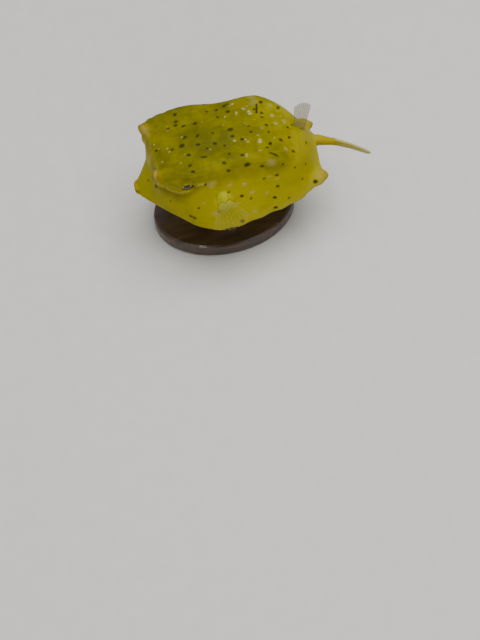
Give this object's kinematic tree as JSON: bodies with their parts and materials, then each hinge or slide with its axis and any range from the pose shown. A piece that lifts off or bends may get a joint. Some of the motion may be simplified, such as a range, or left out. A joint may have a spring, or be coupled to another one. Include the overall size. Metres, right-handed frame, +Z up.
{
  "type": "young longhorn cowfish, still model on a display stand",
  "caption": "Still, life-size model of a small horned boxfish with a five-sided shell, short horns, rear spines and a closed tail fin, level on a low display stand.",
  "frame": {"origin": "on the floor, at the middle of the underside of the stand's base", "axes": "-X the way the fish faces, -Y its left side, +Z up"},
  "size_m": [0.0459, 0.0292, 0.028],
  "materials": {
    "skin": "smooth, satin",
    "horn": "smooth, satin",
    "fin": "satin, see-through in life",
    "eye": "wet gloss",
    "stand_wood": "dark, satin lacquer",
    "stand_steel": "fine turned"
  },
  "bodies": {
    "root": {"head": "skin", "trunk": "skin", "upper_lip": "skin", "lower_lip": "skin", "tail_root": "skin", "horn_left": "horn", "horn_right": "horn", "spine_left": "horn", "spine_right": "horn", "eye_left": "eye", "eye_right": "eye", "pectoral_fin_left": "fin", "pectoral_fin_right": "fin", "dorsal_fin": "fin", "anal_fin": "fin", "tail_fin": "fin", "stand_base": "stand_wood", "stand_rod": "stand_steel"}
  },
  "joints": []
}
